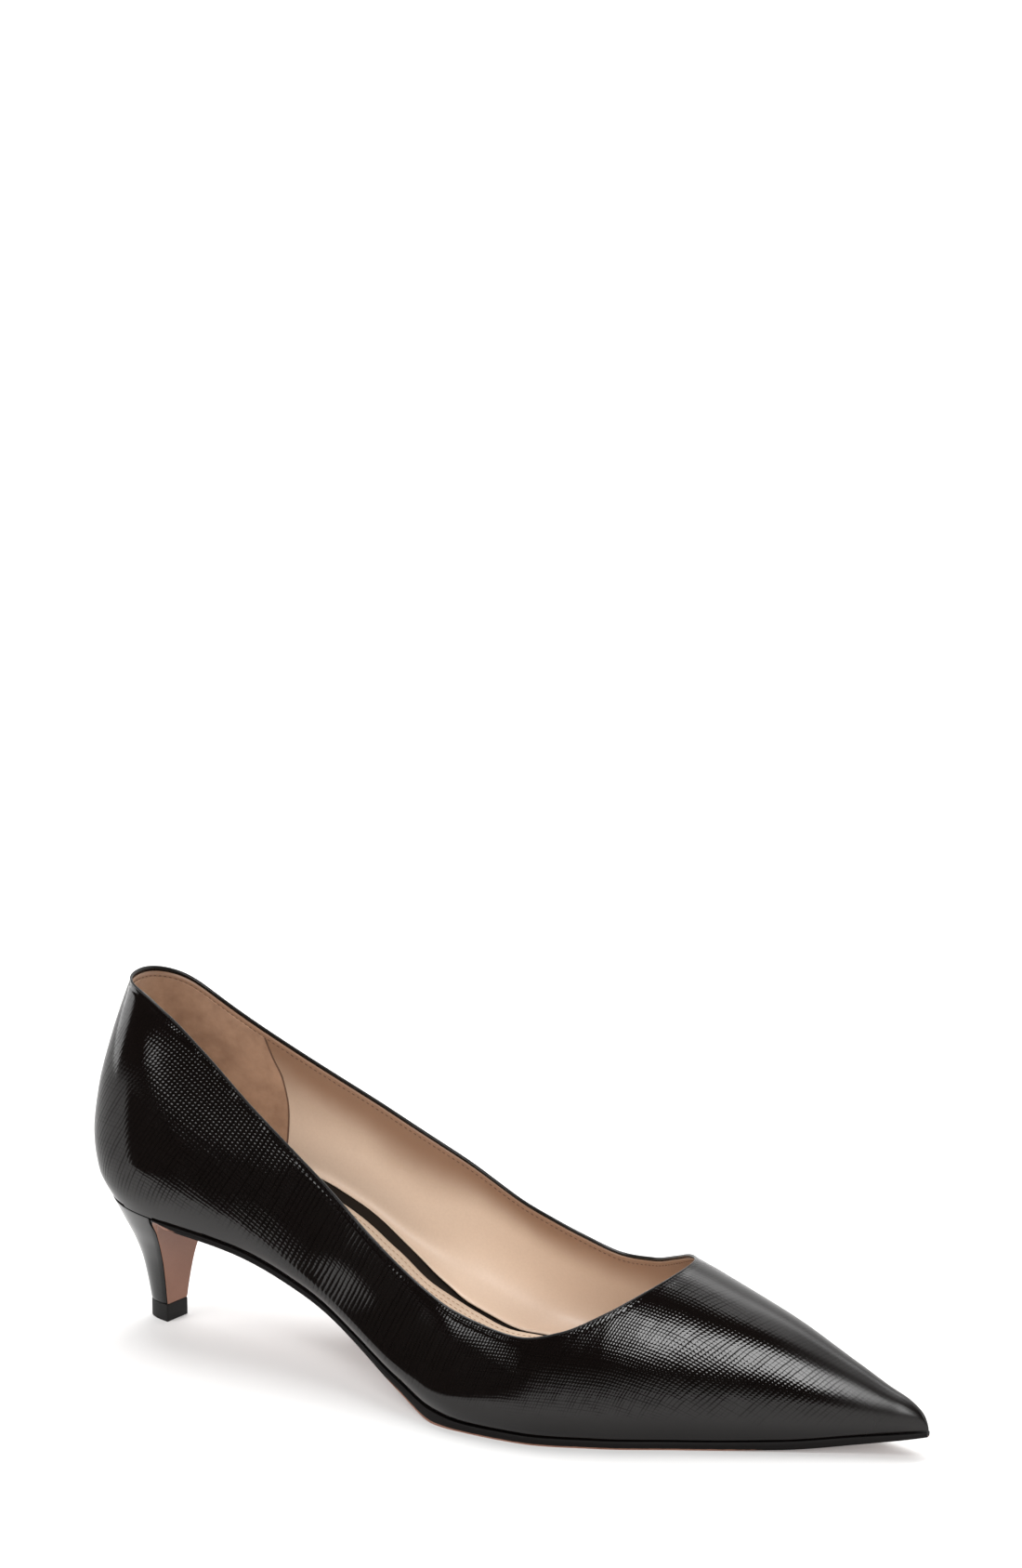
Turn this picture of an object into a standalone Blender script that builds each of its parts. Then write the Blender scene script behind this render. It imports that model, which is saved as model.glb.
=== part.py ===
"""Pointed toe pump, one right shoe, as separate solids: upper, insole, sock, outsole, heel and top piece.

The tables are in millimetres, with x measured from the back of the counter towards the toe, y towards the
medial side and z up from the floor. The finished solids are moved so that the origin is under the middle.
"""

import math

import bmesh
import bpy

MM = 0.001
SHARP = math.radians(40.0)

# Driving sizes
LENGTH = 250.0
WALL = 1.8
GAP = 0.3
HEEL_CAP = 26.0
HEEL_SQUARE = 2.2
TOE_CAP = 7.0
TOE_FILL = 10.0
TOE_FILL_START = 195.0
NOSE = 5.0
NOSE_SHARE = 0.6
WIDEST_SHARE = 0.7
RIDGE_INSET = 1.1
THROAT_START = 150.0
THROAT_CROWD = 1.7
APEX = 183.6
BACK_REACH = 75.0
SOLE_TIP = 1.5
SOLE_TIP_START = 225.0
SOLE_TIP_INSET = 0.15
SOLE_MARGIN = 0.4
SOLE_STEPS = 6
BREAST_NEAR = 21.4
BREAST_FAR = 23.2
SKEW_REACH = 85.0
HEEL_FOOT = 5.5
TOP_PIECE_HEIGHT = HEEL_FOOT - GAP
TOP_PIECE_MARGIN = 0.1
FOOT_LENGTH = 8.6
FOOT_HALF = 4.2
FOOT_SQUARE = 2.3
EDGE_STEPS = 12
FOOT_FRONT = (21.6, 0.9)
FOOT_TURN = math.radians(12.0)
SOCK_THICK = 1.1
SOCK_END = 198.0
BED_STEPS = 6
FLAP_THICK = 1.3
FLAP_INSET = 0.02
FLAP_LIFT = 0.2

# Plan of the last: half width and centre line
PLAN_COLUMNS = ("x", "half", "centre")
PLAN = (
    (0.0, 23.2, 0.0),
    (25.0, 22.0, 0.0),
    (50.0, 22.4, 0.6),
    (80.0, 25.8, 1.3),
    (110.0, 33.6, 0.7),
    (130.0, 37.2, -0.8),
    (150.0, 36.0, -1.7),
    (170.0, 30.0, -1.3),
    (190.0, 22.7, 1.0),
    (210.0, 15.7, 3.2),
    (230.0, 8.5, 5.0),
    (250.0, 2.0, 6.3),
)

# Height of the seam between the upper and the sole
SEAM_COLUMNS = ("x", "z")
SEAM = (
    (0.0, 39.5),
    (25.0, 36.7),
    (50.0, 33.2),
    (75.0, 25.9),
    (95.0, 16.5),
    (110.0, 8.8),
    (122.0, 4.4),
    (135.0, 3.3),
    (190.0, 3.3),
    (215.0, 3.8),
    (235.0, 5.9),
    (250.0, 7.6),
)

# Cross section: height of its widest line above the seam, and how far the seam is tucked in below it
SECTION_COLUMNS = ("x", "widest", "tuck")
SECTION = (
    (0.0, 20.0, 4.5),
    (50.0, 18.0, 4.0),
    (100.0, 14.0, 3.2),
    (150.0, 12.0, 2.5),
    (190.0, 9.5, 2.0),
    (215.0, 7.0, 1.6),
    (238.0, 4.5, 1.0),
    (250.0, 3.5, 0.8),
)

# Height of the section's ridge above the seam
RIDGE_COLUMNS = ("x", "height")
RIDGE = (
    (0.0, 76.0),
    (50.0, 73.5),
    (100.0, 72.0),
    (140.0, 58.0),
    (165.0, 49.0),
    (175.0, 45.2),
    (185.0, 41.3),
    (200.0, 35.0),
    (215.0, 27.8),
    (230.0, 18.2),
    (242.0, 10.5),
    (250.0, 6.5),
)

# Back curve: how far forward the counter lies at each height above the seam
BACK_COLUMNS = ("height", "forward")
BACK = (
    (0.0, 4.7),
    (8.0, 0.9),
    (18.0, 0.0),
    (32.0, 1.8),
    (46.0, 5.5),
    (64.0, 11.3),
)

# Topline: height above the floor on each side
TOPLINE_COLUMNS = ("x", "lateral", "medial")
TOPLINE = (
    (0.0, 103.6, 103.6),
    (12.0, 101.8, 99.8),
    (25.0, 97.2, 93.3),
    (40.0, 88.8, 85.8),
    (60.0, 74.4, 76.0),
    (80.0, 60.9, 65.4),
    (100.0, 48.1, 53.5),
    (120.0, 37.5, 41.0),
    (135.0, 32.6, 35.5),
    (150.0, 30.2, 32.2),
    (160.0, 32.2, 33.9),
    (170.0, 37.0, 38.4),
    (177.0, 41.2, 42.3),
    (183.6, 45.2, 45.2),
)

# Outsole thickness
SOLE_COLUMNS = ("x", "thick")
SOLE = (
    (0.0, 1.5),
    (85.0, 1.5),
    (105.0, 2.2),
    (115.0, 3.2),
    (122.0, 3.9),
    (135.0, 3.0),
    (225.0, 3.0),
    (250.0, 2.0),
)

# Insole: height of its top above the seam, with the heel pad
FLOOR_COLUMNS = ("x", "rise")
FLOOR = (
    (0.0, 9.0),
    (30.0, 10.0),
    (55.0, 10.5),
    (70.0, 8.0),
    (85.0, 3.4),
    (97.0, 1.3),
    (130.0, 1.3),
    (250.0, 1.3),
)

# Sock: how far its edge lies inside the insole's edge
SOCK_COLUMNS = ("x", "inset")
SOCK = (
    (0.0, 6.0),
    (60.0, 7.2),
    (85.0, 7.8),
    (100.0, 11.0),
    (115.0, 12.4),
    (128.0, 10.0),
    (150.0, 8.0),
    (198.0, 7.0),
)

# Heel: share of the way from the foot's outline to the seat's outline, by share of the height
FLARE_COLUMNS = ("height", "spread")
FLARE = (
    (0.0, 0.0),
    (0.2, 0.10),
    (0.4, 0.23),
    (0.6, 0.44),
    (0.8, 0.72),
    (1.0, 1.0),
)

# Flap of the outsole down the heel breast: share of the height on its inner and outer face, from top to foot
FLAP_COLUMNS = ("inner", "outer")
FLAP = (
    (0.97, 0.84),
    (0.88, 0.78),
    (0.76, 0.70),
    (0.62, 0.59),
    (0.48, 0.465),
    (0.34, 0.335),
    (0.20, 0.20),
    (0.10, 0.10),
    (0.0, 0.0),
)

# Bend of the outsole from the waist into the flap: distance ahead of the breast, forward and down at its lower face
BEND_COLUMNS = ("ahead", "forward", "down")
BEND = (
    (5.5, 0.0, 0.0),
    (3.0, 0.0, 0.0),
    (1.0, 0.7, 0.8),
)
BEND_START = 8.0


def column(table, names, name, x):
    """The named column of a table at x, by a smooth curve that doesn't overshoot the rows."""
    k = names.index(name)
    xs = [row[0] for row in table]
    ys = [row[k] for row in table]
    if x <= xs[0]:
        return ys[0]
    if x >= xs[-1]:
        return ys[-1]
    step = [b - a for a, b in zip(xs, xs[1:])]
    rate = [(b - a) / h for a, b, h in zip(ys, ys[1:], step)]
    slope = [rate[0]]
    for i in range(1, len(xs) - 1):
        if rate[i - 1] * rate[i] <= 0:
            slope.append(0.0)
            continue
        w1 = 2 * step[i] + step[i - 1]
        w2 = step[i] + 2 * step[i - 1]
        slope.append((w1 + w2) / (w1 / rate[i - 1] + w2 / rate[i]))
    slope.append(rate[-1])
    i = max(k for k in range(len(xs) - 1) if xs[k] <= x)
    t = (x - xs[i]) / step[i]
    rise = (1 + 2 * t) * (1 - t) ** 2 * ys[i] + t * t * (3 - 2 * t) * ys[i + 1]
    bend = t * (1 - t) ** 2 * slope[i] + t * t * (t - 1) * slope[i + 1]
    return rise + bend * step[i]


def plan(name, x):
    return column(PLAN, PLAN_COLUMNS, name, x)


def seam(x):
    return column(SEAM, SEAM_COLUMNS, "z", x)


def end_round(x):
    """Share of the half width that is left in the rounded back and at the toe tip."""
    share = 1.0
    if x < HEEL_CAP:
        share = (1 - (1 - x / HEEL_CAP) ** HEEL_SQUARE) ** (1 / HEEL_SQUARE)
    if x > LENGTH - TOE_CAP:
        share = math.sqrt(max(0.0, 1 - ((x - LENGTH + TOE_CAP) / TOE_CAP) ** 2))
    return share


def inward(x, inset):
    """Station that an inner face uses: moved in from the back, and well in from the filled toe."""
    if inset == 0.0:
        return x
    back = max(0.0, 1 - x / HEEL_CAP) ** 2
    toe = max(0.0, (x - TOE_FILL_START) / (LENGTH - TOE_FILL_START)) ** 2
    return x + inset * back - (TOE_FILL + inset - WALL) * toe


def ridge(x, inset=0.0):
    return column(RIDGE, RIDGE_COLUMNS, "height", x) - RIDGE_INSET * inset


def widest_line(x, top):
    return min(column(SECTION, SECTION_COLUMNS, "widest", x), WIDEST_SHARE * top)


def shell(x, side, tau, inset=0.0):
    """A point of the upper; tau is -1 on the seam, 0 on the widest line and 1 on the ridge."""
    at = inward(x, inset)
    half = plan("half", at) - inset
    tuck = column(SECTION, SECTION_COLUMNS, "tuck", at)
    top = ridge(at, inset)
    if x > LENGTH - TOE_CAP:
        nose = min(NOSE, NOSE_SHARE * top)
        top = nose + (top - nose) * end_round(x)
    widest = widest_line(at, top)
    if tau <= 0:
        z = widest * (1 + tau)
        y = half - tuck * tau * tau
    else:
        turn = tau * math.pi / 2
        z = widest + (top - widest) * math.sin(turn)
        y = half * math.cos(turn)
    forward = column(BACK, BACK_COLUMNS, "forward", z) * max(0.0, 1 - x / BACK_REACH) ** 2
    return (at + forward, plan("centre", at) + side * y * end_round(x), seam(at) + z)


def topline(x, side):
    """The tau of the topline at a station; 1 from the throat's point on."""
    if x >= APEX:
        return 1.0
    name = "lateral" if side < 0 else "medial"
    z = column(TOPLINE, TOPLINE_COLUMNS, name, x) - seam(x)
    top = ridge(x)
    widest = widest_line(x, top)
    share = min(max((z - widest) / (top - widest), 0.0), 1.0)
    return math.asin(share) / (math.pi / 2)


def floor_tau(x, rise, inset):
    """The tau at which the wall has this height above the seam."""
    at = inward(x, inset)
    return min(rise / widest_line(at, ridge(at, inset)) - 1, 0.0)


def spread(first, last, count):
    return [first + (last - first) * i / count for i in range(count + 1)]


def stations():
    back = [HEEL_CAP * (1 - math.cos(math.radians(a))) for a in spread(0, 90, 9)]
    waist = spread(HEEL_CAP, THROAT_START, 18)[1:]
    crowded = [1 - (1 - q) ** THROAT_CROWD for q in spread(0, 1, 9)[1:]]
    throat = [THROAT_START + (APEX - THROAT_START) * q for q in crowded]
    vamp = spread(APEX, LENGTH - TOE_CAP, 9)[1:]
    tip = [LENGTH - TOE_CAP + TOE_CAP * math.sin(math.radians(a)) for a in spread(0, 90, 5)[1:]]
    return back + waist + throat + vamp + tip


class Solid:
    """Collects faces by their points and welds points that are the same."""

    def __init__(self, name):
        self.name = name
        self.points = []
        self.faces = []
        self.index = {}

    def vertex(self, point):
        key = tuple(round(c, 4) for c in point)
        if key not in self.index:
            self.index[key] = len(self.points)
            self.points.append(point)
        return self.index[key]

    def face(self, *points):
        ids = []
        for point in points:
            k = self.vertex(point)
            if k not in ids:
                ids.append(k)
        if len(ids) > 2:
            self.faces.append(ids)

    def skin(self, rows):
        for a, b in zip(rows, rows[1:]):
            for i in range(len(a) - 1):
                self.face(a[i], b[i], b[i + 1], a[i + 1])

    def build(self, material, shift):
        mesh = bpy.data.meshes.new(self.name)
        moved = [tuple((c + s) * MM for c, s in zip(p, shift)) for p in self.points]
        mesh.from_pydata(moved, [], self.faces)
        work = bmesh.new()
        work.from_mesh(mesh)
        bmesh.ops.triangulate(work, faces=work.faces)
        bmesh.ops.recalc_face_normals(work, faces=work.faces)
        work.to_mesh(mesh)
        work.free()
        mesh.shade_smooth()
        mesh.set_sharp_from_angle(angle=SHARP)
        mesh.materials.append(material)
        node = bpy.data.objects.new(self.name, mesh)
        bpy.context.scene.collection.objects.link(node)
        return node


def make_upper():
    solid = Solid("upper")
    for side in (-1, 1):
        outer = []
        inner = []
        for x in stations():
            top = topline(x, side)
            taus = spread(-1.0, 0.0, 4) + spread(0.0, top, 9)[1:]
            outer.append([shell(x, side, tau) for tau in taus])
            inner.append([shell(x, side, tau, WALL) for tau in taus])
        solid.skin(outer)
        solid.skin(inner)
        solid.skin([[a[0], b[0]] for a, b in zip(outer, inner)])
        rim = sum(1 for x in stations() if x <= APEX + 1e-6)
        solid.skin([[a[-1], b[-1]] for a, b in zip(outer[:rim], inner[:rim])])
    return solid


def make_bed(name, inset, low, high, last):
    """A plate on the floor of the shoe between two heights above the seam, inside the outer face by inset."""
    solid = Solid(name)
    shares = spread(0.0, 1.0, BED_STEPS)
    lower = []
    upper = []
    for x in stations():
        if x > last:
            continue
        for rows, height in ((lower, low(x)), (upper, high(x))):
            tau = floor_tau(x, height, inset(x))
            a = shell(x, -1, tau, inset(x))
            b = shell(x, 1, tau, inset(x))
            rows.append([tuple(p + (q - p) * s for p, q in zip(a, b)) for s in shares])
    solid.skin(lower)
    solid.skin(upper)
    for k in (0, -1):
        solid.skin([[a[k], b[k]] for a, b in zip(lower, upper)])
        solid.skin([lower[k], upper[k]])
    return solid


def rise(x):
    return column(FLOOR, FLOOR_COLUMNS, "rise", x)


def make_insole():
    return make_bed("insole", lambda x: WALL + GAP, lambda x: 0.0, rise, LENGTH)


def make_sock():
    def edge(x):
        return WALL + GAP + column(SOCK, SOCK_COLUMNS, "inset", x)

    def under(x):
        return rise(x) + GAP

    def over(x):
        return rise(x) + GAP + SOCK_THICK

    return make_bed("sock", edge, under, over, SOCK_END)


def seat_edge(side):
    """Half of the heel's top outline, from the breast corner to the middle of the back."""
    corner = BREAST_NEAR if side < 0 else BREAST_FAR
    edge = []
    for a in spread(90, 0, EDGE_STEPS):
        x, y, z = shell(corner * (1 - math.cos(math.radians(a))), side, -1.0)
        edge.append((x, y, z - GAP))
    return edge


def foot_edge(side, front=0.0, margin=0.0):
    """Half outline of the heel's foot, cut back at the front and grown by a margin; breast corner first."""
    ahead = (math.cos(FOOT_TURN), -math.sin(FOOT_TURN))
    across = (math.sin(FOOT_TURN), math.cos(FOOT_TURN))
    edge = []
    for a in spread(90, 0, EDGE_STEPS):
        s = 1 - math.cos(math.radians(a))
        back = (FOOT_LENGTH - front + 2 * margin) * (s - 1) + margin - front
        out = side * (FOOT_HALF + margin) * (1 - (1 - s) ** FOOT_SQUARE) ** (1 / FOOT_SQUARE)
        edge.append(tuple(f + back * p + out * q for f, p, q in zip(FOOT_FRONT, ahead, across)))
    return edge


def heel_ring(side, height):
    """Half outline of the heel at a share of its height."""
    share = column(FLARE, FLARE_COLUMNS, "spread", height)
    ring = []
    for low, high in zip(foot_edge(side, GAP + FLAP_THICK), seat_edge(side)):
        x, y = (a + (b - a) * share for a, b in zip(low, high))
        ring.append((x, y, HEEL_FOOT + (high[2] - HEEL_FOOT) * height))
    return ring


def make_heel():
    solid = Solid("heel")
    heights = spread(0.0, 1.0, 14)
    near = [heel_ring(-1, h) for h in heights]
    far = [heel_ring(1, h) for h in heights]
    solid.skin(near)
    solid.skin(far)
    solid.skin([[a[0], b[0]] for a, b in zip(near, far)])
    for k in (0, -1):
        solid.skin([list(pair) for pair in zip(near[k], far[k])])
    return solid


def make_top_piece():
    solid = Solid("top_piece")
    rings = []
    for side in (-1, 1):
        edge = foot_edge(side, 0.0, TOP_PIECE_MARGIN)
        rings.append([[(x, y, z) for x, y in edge] for z in (0.0, TOP_PIECE_HEIGHT)])
    near, far = rings
    solid.skin(near)
    solid.skin(far)
    solid.skin([[a[0], b[0]] for a, b in zip(near, far)])
    for k in (0, 1):
        solid.skin([list(pair) for pair in zip(near[k], far[k])])
    return solid


def sole_row(x):
    """Upper and lower points of the outsole across one station."""
    fade = max(0.0, 1 - (x - BREAST_FAR) / SKEW_REACH)
    middle = (BREAST_NEAR + BREAST_FAR) / 2
    skew = (BREAST_FAR - BREAST_NEAR) / 2 * fade ** 2
    thick = column(SOLE, SOLE_COLUMNS, "thick", x)
    tops = []
    lows = []
    ends = []
    for side in (-1, 1):
        at = min(max(x + side * skew, middle + side * skew), LENGTH)
        px, py, pz = shell(min(at, LENGTH - SOLE_TIP_INSET), side, -1.0)
        tip = max(0.0, (x - SOLE_TIP_START) / (LENGTH - SOLE_TIP_START)) ** 2
        ends.append((px + SOLE_TIP * tip, py + side * SOLE_MARGIN, pz - GAP))
    for s in spread(0.0, 1.0, SOLE_STEPS):
        top = tuple(a + (b - a) * s for a, b in zip(*ends))
        tops.append(top)
        lows.append((top[0], top[1], max(0.0, top[2] - thick)))
    return tops, lows


def flap_row(inner, outer):
    """Inner and outer points of the outsole where it lies against the heel breast."""
    tops = []
    lows = []
    for points, height, ahead in ((tops, inner, GAP), (lows, outer, GAP + FLAP_THICK)):
        a = heel_ring(-1, height)[0]
        b = heel_ring(1, height)[0]
        lift = 0.0 if height > 0 else FLAP_LIFT
        for s in spread(FLAP_INSET, 1.0 - FLAP_INSET, SOLE_STEPS):
            x, y, z = (p + (q - p) * s for p, q in zip(a, b))
            points.append((x + ahead, y, z + lift))
    return tops, lows


def make_outsole():
    solid = Solid("outsole")
    middle = (BREAST_NEAR + BREAST_FAR) / 2
    rows = [sole_row(x) for x in reversed(stations()) if x > middle + BEND_START]
    for ahead, forward, down in BEND:
        tops, lows = sole_row(middle + ahead)
        rows.append((tops, [(x + forward, y, z - down) for x, y, z in lows]))
    rows += [flap_row(inner, outer) for inner, outer in FLAP]
    upper = [tops for tops, lows in rows]
    lower = [lows for tops, lows in rows]
    solid.skin(upper)
    solid.skin(lower)
    for k in (0, -1):
        solid.skin([[a[k], b[k]] for a, b in zip(upper, lower)])
        solid.skin([upper[k], lower[k]])
    return solid


def make_material(name, colour, rough):
    material = bpy.data.materials.new(name)
    material.use_nodes = True
    shader = material.node_tree.nodes["Principled BSDF"]
    shader.inputs["Base Color"].default_value = (*colour, 1.0)
    shader.inputs["Roughness"].default_value = rough
    material.diffuse_color = (*colour, 1.0)
    return material


def main():
    for obj in list(bpy.data.objects):
        bpy.data.objects.remove(obj, do_unlink=True)
    black = make_material("black_embossed_patent", (0.012, 0.011, 0.010), 0.2)
    cover = make_material("black_smooth_cover", (0.015, 0.014, 0.013), 0.3)
    nude = make_material("nude_sole_leather", (0.40, 0.22, 0.16), 0.5)
    rubber = make_material("black_rubber", (0.02, 0.02, 0.02), 0.7)
    bed = make_material("black_insole_cover", (0.02, 0.016, 0.013), 0.5)
    beige = make_material("beige_lining_leather", (0.70, 0.52, 0.39), 0.5)
    solids = (
        (make_upper(), black),
        (make_insole(), bed),
        (make_sock(), beige),
        (make_outsole(), nude),
        (make_heel(), cover),
        (make_top_piece(), rubber),
    )
    points = [p for solid, _ in solids for p in solid.points]
    shift = [-(max(p[k] for p in points) + min(p[k] for p in points)) / 2 for k in (0, 1)] + [0.0]
    for solid, material in solids:
        solid.build(material, shift)


main()
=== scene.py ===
"""Looks of a pointed toe pump, the right shoe of a pair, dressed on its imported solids.

The last's tables are in millimetres: x runs from the back of the counter to the toe, y to the medial side
and z up. Finished meshes are in metres, in the frame of the solids.
"""

import bisect
import math

import bpy
from mathutils import Matrix, Vector
from mathutils.kdtree import KDTree


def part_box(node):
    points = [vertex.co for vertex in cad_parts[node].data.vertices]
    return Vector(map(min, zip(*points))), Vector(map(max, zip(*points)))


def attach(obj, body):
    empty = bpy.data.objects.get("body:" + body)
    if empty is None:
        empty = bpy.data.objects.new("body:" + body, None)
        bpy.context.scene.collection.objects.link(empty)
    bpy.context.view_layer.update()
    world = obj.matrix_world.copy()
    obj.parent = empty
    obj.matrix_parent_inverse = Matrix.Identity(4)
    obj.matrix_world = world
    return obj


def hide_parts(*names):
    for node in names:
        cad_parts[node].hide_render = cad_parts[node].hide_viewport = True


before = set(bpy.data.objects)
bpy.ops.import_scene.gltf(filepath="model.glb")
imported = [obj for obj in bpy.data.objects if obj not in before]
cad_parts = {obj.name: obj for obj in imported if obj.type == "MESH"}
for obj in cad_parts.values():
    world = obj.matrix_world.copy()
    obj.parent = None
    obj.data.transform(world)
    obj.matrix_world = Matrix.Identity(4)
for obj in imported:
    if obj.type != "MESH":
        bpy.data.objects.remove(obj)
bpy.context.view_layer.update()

MM = 0.001

# Driving sizes of the last and the heel, as in the solids
LENGTH = 250.0
WALL = 1.8
GAP = 0.3
HEEL_CAP = 26.0
HEEL_SQUARE = 2.2
TOE_CAP = 7.0
TOE_FILL = 10.0
TOE_FILL_START = 195.0
NOSE = 5.0
WIDEST_SHARE = 0.7
RIDGE_INSET = 1.1
THROAT_START = 150.0
THROAT_CROWD = 1.7
APEX = 183.6
BACK_REACH = 75.0
SOLE_TIP = 1.5
SOLE_TIP_START = 225.0
SOLE_TIP_INSET = 0.15
SOLE_MARGIN = 0.4
BREAST_NEAR = 21.4
BREAST_FAR = 23.2
SKEW_REACH = 85.0
HEEL_FOOT = 5.5
TOP_PIECE_HEIGHT = HEEL_FOOT - GAP
TOP_PIECE_MARGIN = 0.1
FOOT_LENGTH = 8.6
FOOT_HALF = 4.2
FOOT_SQUARE = 2.3
FOOT_FRONT = (21.6, 0.9)
FOOT_TURN = math.radians(12.0)
SOCK_THICK = 1.1
SOCK_END = 198.0
FLAP_THICK = 1.3

# Sizes that differ from the solids: how blunt the nose is, how far the flap stands in and how far up
NOSE_SHARE = 0.5
FLAP_INSET = 0.35
FLAP_LIFT = -0.15

# Plan of the last: x, half width, centre line
PLAN = (
    (0.0, 23.2, 0.0),
    (25.0, 22.0, 0.0),
    (50.0, 22.4, 0.6),
    (80.0, 25.8, 1.3),
    (110.0, 33.6, 0.7),
    (130.0, 37.2, -0.8),
    (150.0, 36.0, -1.7),
    (170.0, 30.0, -1.3),
    (190.0, 22.7, 1.0),
    (210.0, 15.7, 3.2),
    (230.0, 8.5, 5.0),
    (250.0, 2.0, 6.3),
)
# Seam between the upper and the sole, lower at the forefoot than in the solids: x, height
SEAM = (
    (0.0, 39.5), (25.0, 36.7), (50.0, 33.2), (75.0, 25.9), (95.0, 16.5),
    (110.0, 8.8), (122.0, 4.0), (135.0, 2.6), (190.0, 2.6), (215.0, 3.3),
    (235.0, 5.6), (250.0, 7.6),
)
# Cross section, widest lower down than in the solids: x, height of the widest line above the seam,
# tuck of the seam below it
SECTION = (
    (0.0, 20.0, 4.5),
    (25.0, 17.0, 4.2),
    (50.0, 12.0, 4.0),
    (75.0, 7.5, 3.6),
    (100.0, 6.5, 3.2),
    (125.0, 6.5, 2.8),
    (150.0, 8.5, 2.5),
    (190.0, 9.0, 2.0),
    (215.0, 7.0, 1.6),
    (238.0, 4.5, 1.0),
    (250.0, 3.5, 0.8),
)
# Ridge of the section, raised by about what the seam is lowered: x, height above the seam
RIDGE = (
    (0.0, 76.0), (50.0, 73.5), (100.0, 72.0), (140.0, 58.6), (165.0, 49.7),
    (175.0, 45.9), (185.0, 42.0), (200.0, 35.6), (215.0, 28.3), (230.0, 18.5),
    (242.0, 10.6), (250.0, 6.5),
)
# Back curve of the counter: height above the seam, how far forward it lies
BACK = (
    (0.0, 4.7), (8.0, 0.9), (18.0, 0.0), (32.0, 1.8), (46.0, 5.5),
    (64.0, 11.3),
)
# Topline: x, height on the lateral side, height on the medial side
TOPLINE = (
    (0.0, 103.6, 103.6),
    (12.0, 101.8, 99.8),
    (25.0, 97.2, 93.3),
    (40.0, 88.8, 85.8),
    (60.0, 74.4, 76.0),
    (80.0, 60.9, 65.4),
    (100.0, 48.1, 53.5),
    (120.0, 37.5, 41.0),
    (135.0, 32.6, 35.5),
    (150.0, 30.2, 32.2),
    (160.0, 32.2, 33.9),
    (170.0, 37.0, 38.4),
    (177.0, 41.2, 42.3),
    (183.6, 45.2, 45.2),
)
# Outsole, thinner at the forefoot than in the solids: x, thickness
SOLE = (
    (0.0, 1.5), (85.0, 1.5), (105.0, 2.2), (115.0, 3.1), (122.0, 3.5),
    (135.0, 2.3), (225.0, 2.3), (250.0, 1.4),
)
# Insole, raised by about what the seam is lowered: x, height of its top above the seam
FLOOR = (
    (0.0, 9.0), (30.0, 10.0), (55.0, 10.5), (70.0, 8.0), (85.0, 3.4),
    (97.0, 1.3), (118.0, 1.5), (135.0, 2.0), (190.0, 2.0), (235.0, 1.6),
    (250.0, 1.3),
)
# Sock: x, how far its edge lies inside the insole's edge
SOCK = (
    (0.0, 6.0), (60.0, 7.2), (85.0, 7.8), (100.0, 11.0), (115.0, 12.4),
    (128.0, 10.0), (150.0, 8.0), (198.0, 7.0),
)
# Lining: x, how far its foot flows in over the insole
FLOW = (
    (0.0, 0.6), (66.0, 0.8), (81.0, 1.4), (89.0, 3.0), (96.0, 5.6),
    (105.0, 9.4), (115.0, 9.4), (126.0, 7.0), (140.0, 5.5), (200.0, 4.0),
    (215.0, 2.0), (230.0, 0.5), (250.0, 0.1),
)
# Emboss: x, height of the ridge's row above the widest line, along the skin
EMBOSS_ROW = (
    (0.0, 50.0), (20.0, 53.0), (40.0, 51.0), (60.0, 49.0), (80.0, 48.5),
    (100.0, 48.5), (120.0, 49.0), (150.0, 50.0), (170.0, 48.5), (185.0, 43.6),
    (200.0, 35.4), (215.0, 26.8), (230.0, 16.3), (240.0, 9.5), (250.0, 2.0),
)
# Emboss: x, density of its rows, lean of its columns, height that the lean turns about,
# density of its columns
EMBOSS_DRAW = (
    (0.0, 0.70, 0.44, 10.0, 0.90),
    (40.0, 0.70, 0.46, 10.0, 0.86),
    (75.0, 0.74, 0.34, 10.0, 0.78),
    (110.0, 0.84, 0.36, 12.0, 0.82),
    (140.0, 0.95, 0.48, 22.0, 0.94),
    (165.0, 1.0, 0.58, 36.0, 1.0),
    (185.0, 1.0, 0.60, 43.6, 1.0),
    (200.0, 1.0, 0.60, 35.4, 1.0),
    (215.0, 1.0, 0.60, 26.8, 1.0),
    (230.0, 1.0, 0.60, 16.3, 1.0),
    (250.0, 1.0, 0.60, 2.0, 1.0),
)
# Heel: share of the height, share of the way from the foot's outline to the seat's
FLARE = (
    (0.0, 0.0), (0.2, 0.10), (0.4, 0.23), (0.6, 0.44), (0.8, 0.72),
    (1.0, 1.0),
)
# Flap of the outsole down the breast: place along it, share of the heel's height on its inner face,
# share on its outer face
FLAP = (
    (0.0, 0.97, 0.84),
    (1.0, 0.88, 0.78),
    (2.0, 0.76, 0.70),
    (3.0, 0.62, 0.59),
    (4.0, 0.48, 0.465),
    (5.0, 0.34, 0.335),
    (6.0, 0.20, 0.20),
    (7.0, 0.10, 0.10),
    (8.0, 0.0, 0.0),
)
# Heel grip: height above the floor, x of its front edge
GRIP = (
    (44.0, 45.0), (52.0, 47.0), (61.0, 47.6), (70.0, 46.2), (77.0, 43.0),
    (84.0, 40.6), (95.0, 38.6),
)

# Camera at the photo's angle; the frame is 1100 by 1687
CAMERA_PLACE = (0.5976, -1.1582, 0.5386)
CAMERA_AZIMUTH = math.radians(27.13)
CAMERA_ELEVATION = math.radians(15.69)
CAMERA_LENS = 116.1


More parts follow.
